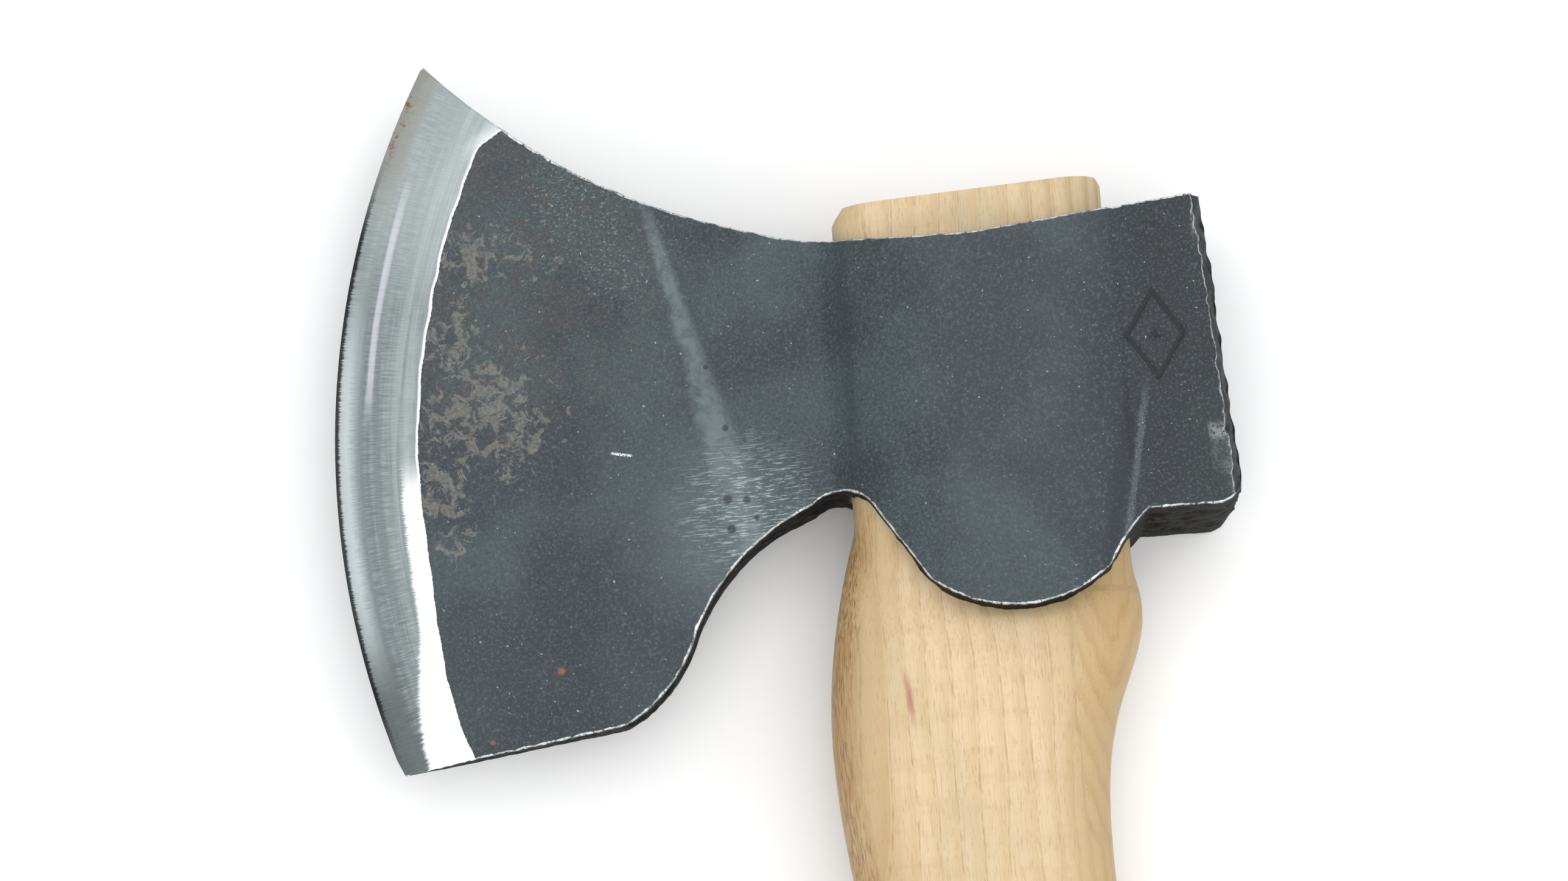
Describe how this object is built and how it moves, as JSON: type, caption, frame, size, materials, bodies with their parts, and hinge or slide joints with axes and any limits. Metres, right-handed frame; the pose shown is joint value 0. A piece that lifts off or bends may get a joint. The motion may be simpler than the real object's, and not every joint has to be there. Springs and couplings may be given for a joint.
{
  "type": "carving hatchet",
  "caption": "Carving hatchet: a forged, bearded steel head with a long curved edge, wedged on a curved hickory handle, lying on its side.",
  "frame": {"origin": "below the middle of the eye, on the surface the hatchet lies on", "axes": "+X from the cutting edge towards the poll, +Y up the eye towards the top of the head, +Z the thickness, away from the surface it lies on"},
  "size_m": [0.1424, 0.4009, 0.032],
  "materials": {
    "forged_steel": "satin",
    "hickory": "satin",
    "wedge_wood": "satin",
    "wedge_steel": "satin"
  },
  "bodies": {
    "root": {"axe_head": "forged_steel", "handle": "hickory", "wooden_wedge": "wedge_wood", "steel_wedge": "wedge_steel"}
  },
  "joints": []
}
